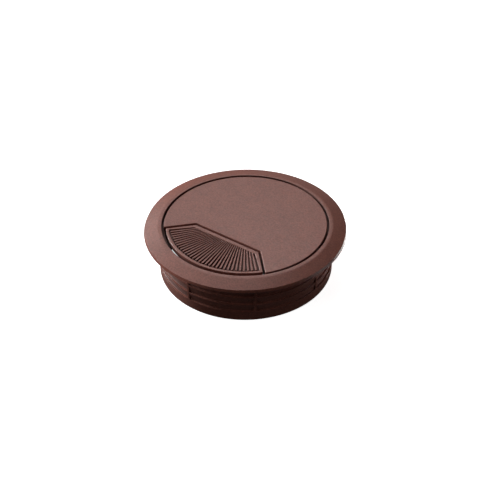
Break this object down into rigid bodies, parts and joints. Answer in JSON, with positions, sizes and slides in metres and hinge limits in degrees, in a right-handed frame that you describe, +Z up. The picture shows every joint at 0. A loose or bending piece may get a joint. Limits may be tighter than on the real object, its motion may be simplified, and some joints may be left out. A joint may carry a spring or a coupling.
{
  "type": "desk grommet",
  "caption": "Round plastic cable grommet: flanged liner with a ribbed barrel, lift-out cap, and a spring-closed ribbed flap that lets cables through the desktop.",
  "frame": {"origin": "centre of the liner's open bottom end, on the surface the grommet stands on", "axes": "+Z up along the barrel, cap on top; the cable outlet and its flap face -Y"},
  "size_m": [0.09, 0.09, 0.0228],
  "materials": {
    "brown_plastic": "fine moulded satin grain",
    "pin_steel": "drawn bright pin",
    "spring_steel": "drawn spring wire"
  },
  "bodies": {
    "liner": {"liner": "brown_plastic"},
    "cap": {"cap": "brown_plastic", "hinge_pin": "pin_steel", "return_spring": "spring_steel"},
    "flap": {"flap": "brown_plastic"}
  },
  "joints": [
    {"name": "cap_lift", "type": "slide", "parent": "liner", "child": "cap", "axis": [0, 0, 1], "range_m": [0, 0.032]},
    {"name": "flap_hinge", "type": "hinge", "parent": "cap", "child": "flap", "pos_m": [0, -0.008, 0.0185], "axis": [1, 0, 0], "range_deg": [0, 70], "stiffness_Nm_per_rad": 0.008, "springref_deg": -28.65, "deforming": ["return_spring"]}
  ]
}
